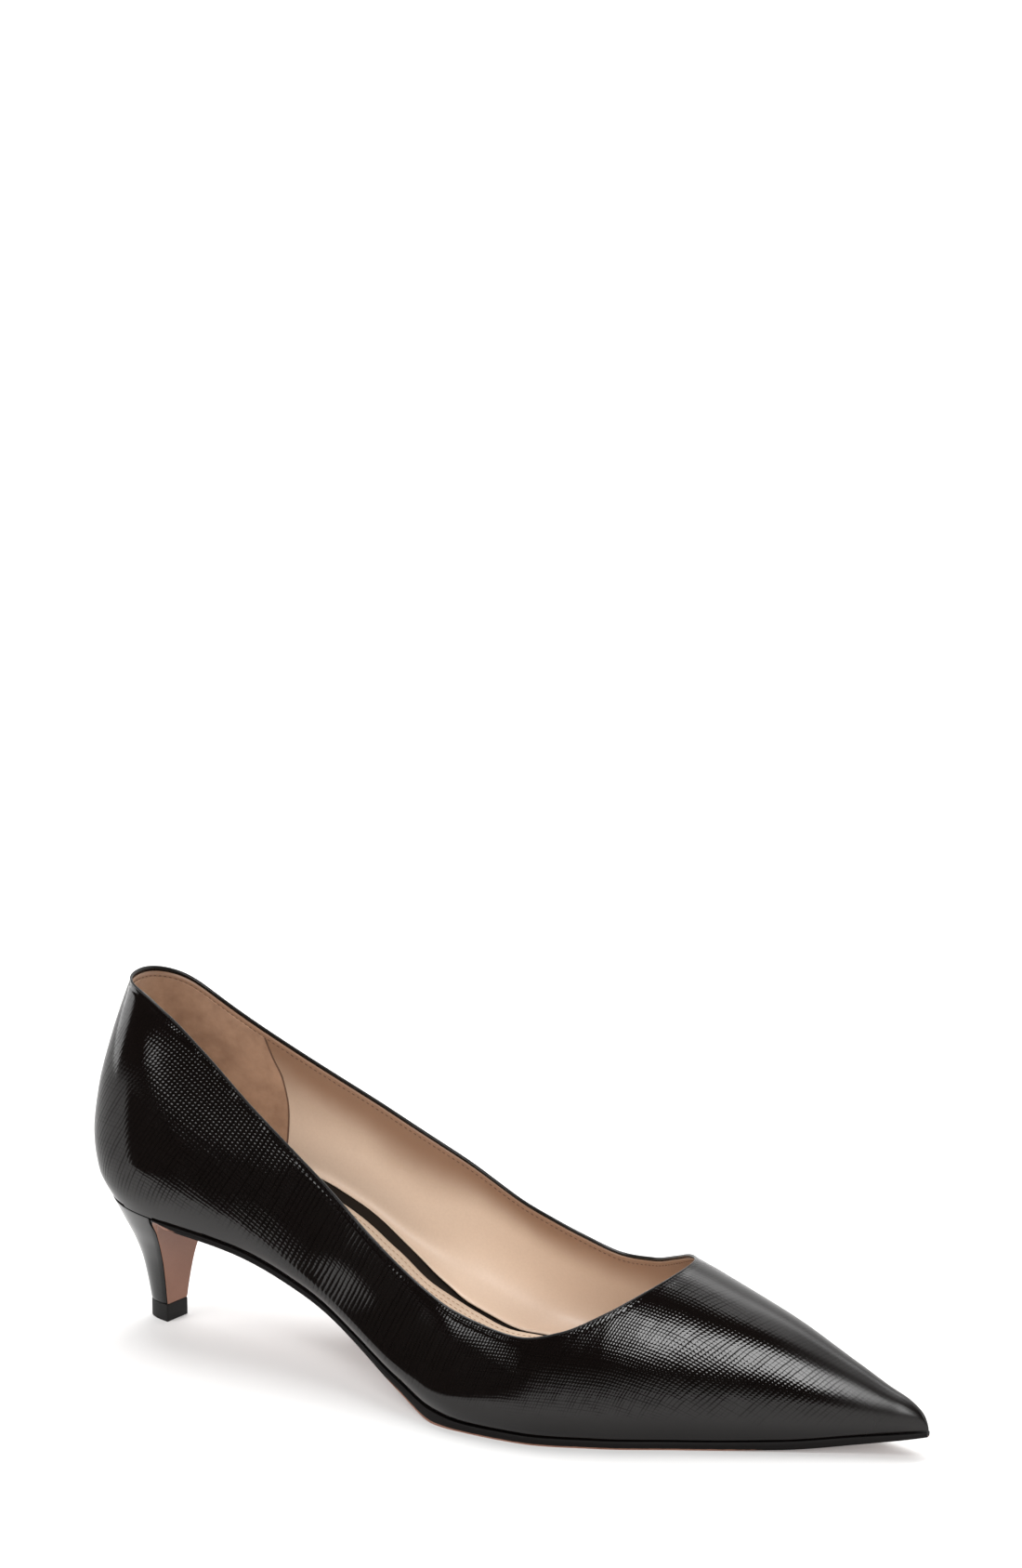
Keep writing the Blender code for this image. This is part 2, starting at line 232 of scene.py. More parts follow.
class Curve:
    """A smooth line through a table's rows that doesn't overshoot them; k is the column that it reads."""

    def __init__(self, rows, k=1):
        self.x = [row[0] for row in rows]
        self.y = [row[k] for row in rows]
        self.step = [b - a for a, b in zip(self.x, self.x[1:])]
        rate = [(b - a) / h for a, b, h in zip(self.y, self.y[1:], self.step)]
        between = zip(rate, rate[1:], self.step, self.step[1:])
        self.slope = [rate[0]] + [self.lean(*four) for four in between] + [rate[-1]]

    @staticmethod
    def lean(before, after, near, far):
        if before * after <= 0:
            return 0.0
        first = 2 * far + near
        second = far + 2 * near
        return (first + second) / (first / before + second / after)

    def __call__(self, x):
        x = min(max(x, self.x[0]), self.x[-1])
        i = min(bisect.bisect_right(self.x, x), len(self.x) - 1) - 1
        t = (x - self.x[i]) / self.step[i]
        rise = (1 + 2 * t) * (1 - t) ** 2 * self.y[i] + t * t * (3 - 2 * t) * self.y[i + 1]
        bend = t * (1 - t) ** 2 * self.slope[i] + t * t * (t - 1) * self.slope[i + 1]
        return rise + bend * self.step[i]


half_width = Curve(PLAN, 1)
centre_line = Curve(PLAN, 2)
seam_height = Curve(SEAM)
widest_height = Curve(SECTION, 1)
seam_tuck = Curve(SECTION, 2)
ridge_height = Curve(RIDGE)
back_forward = Curve(BACK)
lateral_top = Curve(TOPLINE, 1)
medial_top = Curve(TOPLINE, 2)
sole_thickness = Curve(SOLE)
floor_rise = Curve(FLOOR)
sock_inset = Curve(SOCK)
lining_flow = Curve(FLOW)
emboss_row = Curve(EMBOSS_ROW)
emboss_rows = Curve(EMBOSS_DRAW, 1)
emboss_lean = Curve(EMBOSS_DRAW, 2)
emboss_pivot = Curve(EMBOSS_DRAW, 3)
emboss_columns = Curve(EMBOSS_DRAW, 4)
heel_flare = Curve(FLARE)
flap_inner = Curve(FLAP, 1)
flap_outer = Curve(FLAP, 2)
grip_front = Curve(GRIP)


def spread(first, last, count):
    return [first + (last - first) * i / count for i in range(count + 1)]


def line(a, b, count):
    """Points from a to b."""
    return [a + (b - a) * s for s in spread(0.0, 1.0, count)]


def smooth(x, low, high):
    """0 below low, 1 above high, and a soft step between."""
    t = min(max((x - low) / (high - low), 0.0), 1.0)
    return t * t * (3 - 2 * t)


def end_round(x):
    """Share of the half width that is left in the rounded back and at the toe tip."""
    if x < HEEL_CAP:
        return (1 - (1 - x / HEEL_CAP) ** HEEL_SQUARE) ** (1 / HEEL_SQUARE)
    if x > LENGTH - TOE_CAP:
        return math.sqrt(max(0.0, 1 - ((x - LENGTH + TOE_CAP) / TOE_CAP) ** 2))
    return 1.0


class Section:
    """Cross section of the last at a station, inside the outer face by inset."""

    def __init__(self, x, inset=0.0):
        at = x
        if inset > 0.0:
            back = max(0.0, 1 - x / HEEL_CAP) ** 2
            toe = max(0.0, (x - TOE_FILL_START) / (LENGTH - TOE_FILL_START)) ** 2
            at = x + inset * back - (TOE_FILL + inset - WALL) * toe
        self.x = x
        self.at = at
        self.round = end_round(x)
        self.half = half_width(at) - inset
        self.centre = centre_line(at)
        self.seam = seam_height(at)
        self.tuck = seam_tuck(at)
        top = ridge_height(at) - RIDGE_INSET * inset
        if x > LENGTH - TOE_CAP:
            nose = min(NOSE, NOSE_SHARE * top)
            top = nose + (top - nose) * self.round
        self.top = top
        self.widest = min(widest_height(at), WIDEST_SHARE * top)
        self.fade = max(0.0, 1 - x / BACK_REACH) ** 2

    def point(self, side, tau):
        """tau is -1 on the seam, 0 on the widest line and 1 on the ridge."""
        if tau <= 0:
            z = self.widest * (1 + tau)
            y = self.half - self.tuck * tau * tau
        else:
            turn = tau * math.pi / 2
            z = self.widest + (self.top - self.widest) * math.sin(turn)
            y = self.half * math.cos(turn)
        forward = back_forward(z) * self.fade
        return Vector((self.at + forward, self.centre + side * y * self.round, self.seam + z))

    def tau_at(self, height):
        """tau where the wall has this height above the seam."""
        if height <= self.widest:
            return height / self.widest - 1
        share = min((height - self.widest) / (self.top - self.widest), 1.0)
        return math.asin(share) / (math.pi / 2)


def topline_tau(x, side):
    if x >= APEX:
        return 1.0
    top = lateral_top(x) if side < 0 else medial_top(x)
    return Section(x).tau_at(top - seam_height(x))


# Stretch of close stations ahead of the apex
AHEAD = 6.0


def stations(back, waist, throat, ahead, vamp, tip):
    """Stations from the counter to the tip, with a number of steps for each stretch."""
    found = [HEEL_CAP * (1 - math.cos(math.radians(a))) for a in spread(0, 90, back)]
    found += spread(HEEL_CAP, THROAT_START, waist)[1:]
    crowded = [1 - (1 - q) ** THROAT_CROWD for q in spread(0, 1, throat)[1:]]
    found += [THROAT_START + (APEX - THROAT_START) * q for q in crowded]
    found += spread(APEX, APEX + AHEAD, ahead)[1:]
    found += spread(APEX + AHEAD, LENGTH - TOE_CAP, vamp)[1:]
    found += [LENGTH - TOE_CAP + TOE_CAP * math.sin(math.radians(a)) for a in spread(0, 90, tip)[1:]]
    return found


FINE = stations(36, 84, 56, 16, 44, 14)
MEDIUM = stations(24, 56, 24, 6, 24, 8)


def around(xs):
    """The stations as a ring: lateral from back to toe, then medial from toe to back."""
    return [(x, -1) for x in xs] + [(x, 1) for x in reversed(xs[:-1])]


# Where the last's table frame lies in the frame of the solids
WIDEST_LATERAL = min(centre_line(x) - half_width(x) for x in spread(100.0, 160.0, 600))
SHIFT = Vector((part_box("upper")[0].x / MM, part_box("upper")[0].y / MM - WIDEST_LATERAL, 0.0))


def place(point):
    return (point + SHIFT) * MM


# Mesh making


def alone(piece):
    """Makes a piece the only selected and active object."""
    bpy.ops.object.select_all(action="DESELECT")
    piece.select_set(True)
    bpy.context.view_layer.objects.active = piece


def mode(name):
    bpy.ops.object.mode_set(mode=name)


def add_grid(name, columns, rows):
    """A named grid primitive with this many points each way."""
    bpy.ops.object.select_all(action="DESELECT")
    bpy.ops.mesh.primitive_grid_add(x_subdivisions=columns - 1, y_subdivisions=rows - 1, size=1.0,
                                    location=(0, 0, 0))
    piece = bpy.context.object
    piece.name = name
    piece.data.name = name
    return piece


def lay_grid(name, rows, skip=(), uv=None):
    """A grid primitive laid on rows of points; skip names (row, column) faces that are left out."""
    width = len(rows[0])
    piece = add_grid(name, width, len(rows))
    mesh = piece.data
    flat = [c for row in rows for point in row for c in place(point)]
    mesh.vertices.foreach_set("co", flat)
    if uv is not None:
        pairs = [pair for row in uv for pair in row]
        loops = [0] * len(mesh.loops)
        mesh.loops.foreach_get("vertex_index", loops)
        mesh.uv_layers.active.data.foreach_set("uv", [c for k in loops for c in pairs[k]])
    mesh.update()
    mode("EDIT")
    if skip:
        bpy.ops.mesh.select_all(action="DESELECT")
        mode("OBJECT")
        for r, c in skip:
            mesh.polygons[r * (width - 1) + c].select = True
        mode("EDIT")
        bpy.ops.mesh.delete(type="FACE")
    bpy.ops.mesh.select_all(action="SELECT")
    bpy.ops.mesh.remove_doubles(threshold=2e-6)
    mode("OBJECT")
    return piece


def face_outward(piece):
    alone(piece)
    mode("EDIT")
    bpy.ops.mesh.select_all(action="SELECT")
    bpy.ops.mesh.normals_make_consistent(inside=False)
    mode("OBJECT")


def close_solid(piece):
    """Fills the open ends and turns the faces outward."""
    alone(piece)
    mode("EDIT")
    bpy.ops.mesh.select_all(action="DESELECT")
    bpy.ops.mesh.select_mode(type="EDGE")
    bpy.ops.mesh.select_non_manifold(extend=False, use_wire=False, use_multi_face=False,
                                     use_non_contiguous=False, use_verts=False)
    bpy.ops.mesh.fill_holes(sides=0)
    bpy.ops.mesh.select_mode(type="VERT")
    mode("OBJECT")
    face_outward(piece)


def apply_modifier(piece, kind, **settings):
    alone(piece)
    modifier = piece.modifiers.new(kind.title(), kind)
    for name, value in settings.items():
        setattr(modifier, name, value)
    bpy.ops.object.modifier_apply(modifier=modifier.name)


def soften(piece, width):
    """Rounds the sharp edges."""
    apply_modifier(piece, "BEVEL", width=width * MM, segments=3, limit_method="ANGLE",
                   angle_limit=math.radians(50.0))


def thicken(piece, thick):
    """Gives an open sheet of the inside a thickness toward the wall."""
    outward = sum((p.normal.y * (1 if p.center.y > 0 else -1)) * p.area for p in piece.data.polygons)
    apply_modifier(piece, "SOLIDIFY", thickness=thick * MM, offset=1.0 if outward > 0 else -1.0)


def finish_piece(piece, material, slot, *nodes, angle=50.0):
    """Shades a piece, gives it its material and ties it to the frame."""
    alone(piece)
    bpy.ops.object.shade_smooth_by_angle(angle=math.radians(angle))
    piece.data.materials.append(material)
    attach(piece, "root")
    if nodes:
        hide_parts(*nodes)


# Materials


# A piece's own map is laid in its own units, divided by this span
UV_SPAN = 100.0


def colour(red, green, blue):
    return (red, green, blue, 1.0)


class Value:
    """A socket in shader maths: each operator adds a Math node."""

    def __init__(self, finish, socket):
        self.finish = finish
        self.socket = socket

    def math(self, operation, *others):
        inputs = dict(enumerate((self, *others)))
        return self.finish.node("Math", {"operation": operation}, inputs)

    def __add__(self, other):
        return self.math("ADD", other)

    def __sub__(self, other):
        return self.math("SUBTRACT", other)

    def __rsub__(self, other):
        return self.finish.node("Math", {"operation": "SUBTRACT"}, {0: other, 1: self})

    def __mul__(self, other):
        return self.math("MULTIPLY", other)

    def __truediv__(self, other):
        return self.math("DIVIDE", other)

    __radd__ = __add__
    __rmul__ = __mul__


class Finish:
    """A procedural material under construction."""

    def __init__(self, name, constants):
        self.material = bpy.data.materials.new(name)
        self.material.use_nodes = True
        self.tree = self.material.node_tree
        self.shader = self.tree.nodes["Principled BSDF"]
        for socket, value in constants.items():
            self.shader.inputs[socket].default_value = value

    def node(self, kind, settings, inputs, output=0):
        made = self.tree.nodes.new("ShaderNode" + kind)
        for name, value in settings.items():
            setattr(made, name, value)
        for name, value in inputs.items():
            self.feed(made.inputs[name], value)
        return Value(self, made.outputs[output])

    def feed(self, socket, value):
        if isinstance(value, Value):
            self.tree.links.new(value.socket, socket)
        else:
            socket.default_value = value

    def paint(self, socket, value):
        self.feed(self.shader.inputs[socket], value)

    def place(self):
        return self.node("TexCoord", {}, {}, "Object")

    def axis(self, name):
        """One coordinate of the object's own frame, in metres."""
        return self.node("SeparateXYZ", {}, {"Vector": self.place()}, name)

    def uv(self):
        """The piece's own map as two values in the units that it is laid in; a plain map runs to UV_SPAN."""
        flat = self.node("UVMap", {"uv_map": "UVMap"}, {})
        split = self.node("SeparateXYZ", {}, {"Vector": flat}, "X")
        return split * UV_SPAN, Value(self, split.socket.node.outputs["Y"]) * UV_SPAN

    def noise(self, scale, detail=2.0, rough=0.5):
        inputs = {"Vector": self.place(), "Scale": scale, "Detail": detail, "Roughness": rough}
        return self.node("TexNoise", {}, inputs)

    def streaks(self, first, second):
        """Uneven streaks, on two values in place of a point."""
        spot = self.node("CombineXYZ", {}, {"X": first, "Y": second})
        return self.node("TexNoise", {}, {"Vector": spot, "Scale": 1.0, "Detail": 1.0})

    def mix(self, share, first, second):
        """A colour between two; each is a value, or red, green and blue."""
        a, b = (end if isinstance(end, Value) else colour(*end) for end in (first, second))
        return self.node("Mix", {"data_type": "RGBA"}, {0: share, 6: a, 7: b}, 2)

    def tint(self, share, first, second):
        self.paint("Base Color", self.mix(share, first, second))

    def step(self, value, low, high):
        """0 below low, 1 above high, and a soft step between."""
        return self.node("MapRange", {"interpolation_type": "SMOOTHSTEP"},
                         {"Value": value, "From Min": low, "From Max": high})

    def bump(self, height, depth):
        """Relief of this depth in millimetres where height runs from 0 to 1."""
        self.paint("Normal", self.node("Bump", {}, {"Height": height, "Distance": depth * MM}))

    def spread_over(self, share, ground):
        """Lays the finish over a plain ground: the ground shows where share is 0."""
        below = self.node("BsdfPrincipled", {}, ground)
        both = self.node("MixShader", {}, {0: share, 1: below, 2: Value(self, self.shader.outputs[0])})
        self.feed(self.tree.nodes["Material Output"].inputs["Surface"], both)


ROW_PITCH = 0.94
COLUMN_PITCH = 1.12
EMBOSS_DEPTH = 0.085
PILLOW_SHARE = 0.55
WANDER = 0.3
STREAK_FINE = 0.7
STREAK_LONG = 0.08
STREAK_STEP = (0.36, 0.64)
GROOVE_BED = 0.04
# Where the emboss changes, as soft steps along the frame's x in metres
QUARTER_STARTS = (-0.108, -0.088)
QUARTER_ENDS = (-0.062, -0.04)
VAMP_STARTS = (0.0, 0.03)
VAMP_ENDS = (0.06, 0.09)
BACK_ENDS = (-0.118, -0.096)
BACK_PRESS_ENDS = (-0.112, -0.088)
TAUT_STARTS = (0.045, 0.065)
FOOT_FALLS = (-0.085, 0.003)
# Foot of the emboss in millimetres: its height at the back, its fall toward the ball, its fade and its
# raggedness
EMBOSS_FOOT = 36.0
EMBOSS_FALL = 32.5
EMBOSS_FADE = (4.0, 15.0)
EMBOSS_RAGGED = 6.0
# Ridge of the vamp in plan: its middle in millimetres, the x in metres where that holds, its lean and,
# as a soft step in metres, its half width
RIDGE_MIDDLE = 1.0
RIDGE_AT = 0.064
RIDGE_LEAN = 0.088
RIDGE_HALF = (0.003, 0.011)


def swells(place, pitch):
    """0 in each groove and 1 half way to the next."""
    return (place * (math.pi / pitch)).math("SINE").math("ABSOLUTE")


def embossed_patent():
    """Black lacquered leather, embossed with two crossing families of fine grooves."""
    finish = Finish("black_embossed_patent", {"IOR": 1.42})
    along, down = finish.uv()
    x, y, z = (finish.axis(name) for name in "XYZ")
    sway = finish.noise(420.0) - 0.5
    drift = finish.noise(360.0, 1.0) - 0.5
    columns = swells(along + sway * WANDER, COLUMN_PITCH)
    rows = swells(down + drift * WANDER, ROW_PITCH)
    deep_columns = finish.step(finish.streaks(along * STREAK_FINE, down * STREAK_LONG), *STREAK_STEP)
    deep_rows = finish.step(finish.streaks(along * STREAK_LONG, down * STREAK_FINE), *STREAK_STEP)
    column_cut = finish.step(columns, GROOVE_BED, 0.14 + deep_columns * 0.8)
    row_cut = finish.step(rows, GROOVE_BED, 0.1 + deep_rows * 0.75)
    quarter = finish.step(x, *QUARTER_STARTS) * (1 - finish.step(x, *QUARTER_ENDS))
    vamp = finish.step(x, *VAMP_STARTS) * (1 - 0.7 * finish.step(x, *VAMP_ENDS))
    crossed = 0.3 + 0.7 * (quarter + vamp)
    off_ridge = (y - (SHIFT.y + RIDGE_MIDDLE) * MM - (x - RIDGE_AT) * RIDGE_LEAN).math("ABSOLUTE")
    taut = finish.step(x, *TAUT_STARTS) * (1 - finish.step(off_ridge, *RIDGE_HALF))
    rise = z / MM - EMBOSS_FOOT + EMBOSS_FALL * finish.step(x, *FOOT_FALLS)
    pressed = finish.step(rise + drift * EMBOSS_RAGGED, *EMBOSS_FADE) * (1 - 0.85 * taut)
    pressed = pressed * (1 - 0.5 * (1 - finish.step(x, *BACK_PRESS_ENDS)))
    back = 1 - finish.step(x, *BACK_ENDS)
    cells = (1 - (1 - column_cut * (1 - (1 - row_cut) * crossed)) * pressed) * (1 - 0.35 * back)
    wear = finish.noise(60.0, 3.0)
    finish.tint(wear, (0.0022, 0.0013, 0.001), (0.0036, 0.0023, 0.0019))
    finish.paint("Roughness", 0.06 + wear * 0.05 + taut * 0.24)
    pillow = columns * PILLOW_SHARE + rows * crossed * (1 - PILLOW_SHARE)
    finish.bump(pillow * pressed * (0.5 + 0.5 * quarter), EMBOSS_DEPTH)
    ground = {"Base Color": colour(0.002, 0.0012, 0.001), "Roughness": 0.8, "Specular IOR Level": 0.02}
    finish.spread_over(cells, ground)
    return finish.material


def plain_black(name, rough, grain, index=1.5):
    """Smooth black cover with a little grain."""
    finish = Finish(name, {"IOR": index})
    pores = finish.noise(1800.0, 3.0)
    cloud = finish.noise(90.0, 2.0)
    finish.tint(cloud, (0.003, 0.0028, 0.0026), (0.006, 0.0055, 0.005))
    finish.paint("Roughness", rough + cloud * 0.08)
    finish.bump(pores, grain)
    return finish.material


def leather_grain(finish, depth):
    """Presses fine pores and creases into a leather, and gives back the pores."""
    pores = finish.noise(1500.0, 4.0, 0.6)
    creases = finish.noise(260.0, 4.0, 0.6)
    finish.bump(pores * 0.5 + creases * 0.5, depth)
    return pores


def leather(name, light, dark, rough, grain, gloss=0.5):
    """Leather with soft cloudy colour and fine pores."""
    finish = Finish(name, {"IOR": 1.45, "Specular IOR Level": gloss})
    cloud = finish.noise(45.0, 3.0)
    pores = leather_grain(finish, grain)
    finish.tint(finish.step(cloud, 0.3, 0.7) * 0.6 + pores * 0.4, dark, light)
    finish.paint("Roughness", rough + cloud * 0.12)
    return finish.material


# Soft steps of the lining's painted light and shade: painted shade toward the throat along the frame's x in
# metres, and painted light down the wall as a share of its depth
LINING_THROAT_SHADE = (-0.035, 0.04)
LINING_PAINTED_LIGHT = (0.08, 0.55)


def lining_leather():
    """Beige lining with painted light and shade: painted shade along the collar and at the throat, and
    painted light with sheen lighter toward its foot.
    """
    finish = Finish("beige_lining_leather", {"IOR": 1.45, "Coat Weight": 0.2, "Coat Roughness": 0.5})
    down = finish.uv()[1]
    cloud = finish.noise(38.0, 3.0)
    pores = leather_grain(finish, 0.03)
    # Painted shade: the lining darkens toward the throat, where the vamp shades it
    throat = finish.step(finish.axis("X"), *LINING_THROAT_SHADE)
    painted_light = finish.step(down + (cloud - 0.5) * 0.2, *LINING_PAINTED_LIGHT) * (1 - 0.55 * throat)
    # Painted shade colour near the collar, and painted light with a whitish sheen toward the foot
    tone = finish.mix(painted_light, (0.25, 0.143, 0.088), (0.70, 0.56, 0.44))
    finish.tint(pores * 0.25, tone, (0.30, 0.18, 0.115))
    finish.paint("Roughness", 0.36 + cloud * 0.12)
    return finish.material


EDGE_PAINT = 0.6
PAINT_FADE = 0.3


def sole_leather():
    """Nude sole leather, painted black from the edge in."""
    finish = Finish("nude_sole_leather", {"IOR": 1.45, "Specular IOR Level": 0.15})
    inward = finish.uv()[1]
    wobble = finish.noise(500.0) * 0.3
    bare = finish.step(inward + wobble, EDGE_PAINT, EDGE_PAINT + PAINT_FADE)
    cloud = finish.noise(70.0, 3.0)
    fibre = finish.noise(1400.0, 4.0, 0.6)
    nude = finish.mix(cloud * 0.6 + fibre * 0.4, (0.19, 0.095, 0.068), (0.27, 0.145, 0.103))
    finish.tint(bare, (0.004, 0.0032, 0.003), nude)
    finish.paint("Roughness", 0.55 - bare * 0.15)
    finish.bump(fibre, 0.03)
    return finish.material


def rubber():
    finish = Finish("black_rubber", {"IOR": 1.45, "Specular IOR Level": 0.3})
    specks = finish.noise(2500.0, 4.0, 0.7)
    finish.tint(specks, (0.003, 0.0028, 0.0026), (0.007, 0.0064, 0.006))
    finish.paint("Roughness", 0.55 + specks * 0.2)
    finish.bump(specks, 0.03)
    return finish.material


def thread(name, light, dark):
    finish = Finish(name, {"IOR": 1.45})
    twist = finish.noise(3000.0, 2.0)
    finish.tint(twist, dark, light)
    finish.paint("Roughness", 0.55 + twist * 0.2)
    return finish.material


# Dark rim of the heel grip, as a soft step in from each front edge, in hundredths of the grip's length
GRIP_RIM = (0.15, 0.35)


def suede():
    """Napped leather of the heel grip."""
    finish = Finish("suede_heel_grip", {"IOR": 1.4, "Sheen Weight": 0.08, "Sheen Roughness": 0.5})
    nap = finish.noise(2600.0, 5.0, 0.7)
    strokes = finish.noise(55.0, 4.0, 0.6)
    blotches = finish.noise(160.0, 3.0, 0.6)
    tone = finish.step(strokes * 0.5 + blotches * 0.5, 0.35, 0.65) * 0.7 + nap * 0.3
    napped = finish.mix(tone, (0.25, 0.142, 0.086), (0.43, 0.265, 0.17))
    along = finish.uv()[1]
    body = finish.step(along, *GRIP_RIM) * finish.step(UV_SPAN - along, *GRIP_RIM)
    finish.tint(body, (0.12, 0.065, 0.04), napped)
    finish.paint("Roughness", 0.8 + nap * 0.15)
    finish.bump(nap, 0.06)
    return finish.material


# Glow of the sweep: a little everywhere, which lightens the shoe's shadow on the floor as painted light, and
# rising behind the shoe in a soft step along the frame's y in metres
SWEEP_GLOW = (0.15, 0.7)


def paper_white():
    finish = Finish("studio_white", {"Roughness": 0.9, "Specular IOR Level": 0.1, "Emission Strength": 0.8})
    # Painted light: the floor glows a little everywhere, which lifts the shadow under the shoe
    glow = 0.22 + 0.78 * finish.step(finish.axis("Y"), *SWEEP_GLOW)
    finish.tint(finish.noise(3.0), (0.54, 0.535, 0.53), (0.56, 0.555, 0.55))
    finish.paint("Emission Color", finish.mix(glow, (0.0, 0.0, 0.0), (1.0, 1.0, 1.0)))
    return finish.material


# Upper


SKIN = 0.7
EDGE_ROWS = (0.0, 0.25, 0.5, 0.75, 1.0, 1.25, 1.5, 1.75, 2.0, 2.25, 2.6, 3.1, 4.0)
EDGE_SHARE = 0.35
WALL_ROWS = 40
GROOVE_DROP = 1.7
GROOVE_WIDTH = 0.35
GROOVE_DEPTH = 0.06
NOSE_REACH = 12.0
NOSE_OUT = 1.4


def lengths(points):
    """Length of the line through the points, up to each of them."""
    found = [0.0]
    for a, b in zip(points, points[1:]):
        found.append(found[-1] + (b - a).length)
    return found


def wall_taus(section, side, top):
    """taus of the rows from the edge down to the seam, close together near the edge, with their depths."""
    steps = spread(top, -1.0, 120)
    depth = lengths([section.point(side, tau) for tau in steps])
    total = depth[-1]
    scale = min(1.0, EDGE_SHARE * total / EDGE_ROWS[-1])
    drops = [d * scale for d in EDGE_ROWS]
    drops += spread(drops[-1], total, WALL_ROWS)[1:]
    taus = []
    k = 0
    for drop in drops:
        while k < len(depth) - 2 and depth[k + 1] < drop:
            k += 1
        share = (drop - depth[k]) / max(depth[k + 1] - depth[k], 1e-9)
        taus.append(steps[k] + (steps[k + 1] - steps[k]) * min(share, 1.0))
    return taus, drops


def rise_above_widest(section, side, top):
    """Length of the wall between the widest line and tau top."""
    return lengths([section.point(side, tau) for tau in spread(0.0, top, 60)])[-1]


def emboss_place(x, side, run, height):
    """Place of a point in the emboss: along its rows and down its columns."""
    along = run - side * emboss_lean(x) * (emboss_pivot(x) - height)
    down = emboss_row(x) - emboss_rows(x) * height + ROW_PITCH / 2
    return along / UV_SPAN, down / UV_SPAN


def lengthwise():
    """Place along the emboss at each fine station."""
    run = {FINE[0]: 0.0}
    for a, b in zip(FINE, FINE[1:]):
        across = half_width(b) * end_round(b) - half_width(a) * end_round(a)
        run[b] = run[a] + math.hypot(b - a, across) * emboss_columns(b)
    return run


def topline_loop():
    """Outer and inner point of the wall's edge at each station of the open collar, as a ring."""
    loop = []
    for x, side in around([x for x in FINE if x <= APEX + 1e-6])[:-1]:
        tau = topline_tau(x, side)
        loop.append((Section(x).point(side, tau), Section(x, WALL).point(side, tau)))
    return loop


def nose_out(point, section):
    """Rounds the toe's front: the lower part of the nose stands forward of its top."""
    share = max(0.0, (section.x - LENGTH + NOSE_REACH) / NOSE_REACH) ** 2
    low = 1 - min((point.z - section.seam) / section.top, 1.0) ** 2
    return point + Vector((NOSE_OUT * share * low, 0.0, 0.0))


def make_upper_skin():
    run = lengthwise()
    ring = around(FINE)
    rows = []
    uv = []
    for x, side in ring:
        outer = Section(x)
        inner = Section(x, SKIN)
        taus, drops = wall_taus(outer, side, topline_tau(x, side))
        up = [nose_out(outer.point(side, tau), outer) for tau in reversed(taus)]
        down = [nose_out(inner.point(side, tau), outer) for tau in taus]
        rows.append(up + down + up[:1])
        top = rise_above_widest(outer, side, taus[0])
        heights = [top - d for d in drops[::-1] + drops + drops[-1:]]
        uv.append([emboss_place(x, side, run[x], h) for h in heights])
    edge = len(EDGE_ROWS) + WALL_ROWS - 1
    ahead = [k for k in range(len(ring) - 1) if min(ring[k][0], ring[k + 1][0]) >= APEX - 1e-6]
    piece = lay_grid("upper_skin", rows, [(k, edge) for k in ahead], uv)
    face_outward(piece)
    press_groove(piece)
    finish_piece(piece, embossed_patent(), "upper_patent", "upper", angle=60.0)


def press_groove(piece):
    """Presses the fold line into the skin a little below the edge."""
    loop = topline_loop()
    tree = KDTree(len(loop))
    for k, (outer, _) in enumerate(loop):
        tree.insert(place(outer), k)
    tree.balance()
    reach = (GROOVE_DROP + 3 * GROOVE_WIDTH) * MM
    moves = []
    for vertex in piece.data.vertices:
        _, _, far = tree.find(vertex.co)
        if far < reach:
            depth = GROOVE_DEPTH * math.exp(-((far / MM - GROOVE_DROP) / GROOVE_WIDTH) ** 2)
            moves.append((vertex.index, vertex.normal * depth * MM))
    for k, move in moves:
        piece.data.vertices[k].co -= move
    piece.data.update()


ROLL_OUT = 0.04
ROLL_WIDTH = 0.95
ROLL_UP = 0.38
ROLL_DROP = 0.16
ROLL_SIDES = 16


def edge_frames(loop):
    """Outward and away directions of the wall's edge at each point of the loop."""
    found = []
    n = len(loop)
    for k, (outer, inner) in enumerate(loop):
        ahead = loop[(k + 1) % n][0] - loop[k - 1][0]
        out = (outer - inner).normalized()
        away = out.cross(ahead).normalized()
        found.append((out, away))
    return found


def make_topline_roll():
    """The folded edge of the collar: a half-round bead on top of the wall."""
    loop = topline_loop()
    half = ROLL_WIDTH / 2
    rows = []
    for (outer, _), (out, away) in zip(loop, edge_frames(loop)):
        heart = outer + out * (ROLL_OUT - half)
        ring = []
        for a in spread(0.0, 2 * math.pi, ROLL_SIDES):
            up = ROLL_UP * math.sin(a) - ROLL_DROP
            ring.append(heart + out * half * math.cos(a) + away * up)
        rows.append(ring)
    rows.append(rows[0])
    piece = lay_grid("topline_roll", rows)
    face_outward(piece)
    finish_piece(piece, plain_black("black_patent_edge", 0.24, 0.01, 1.33), "upper_patent")


# Inside


LINING_INSET = 1.0
LINING_DROP = 0.65
LINING_THICK = 0.4
LINING_ROWS = 34
FOOT_ROWS = 12
FLOOR_LIFT = 0.25
FILLET = 2.0
FILLET_FLOW = 1.5


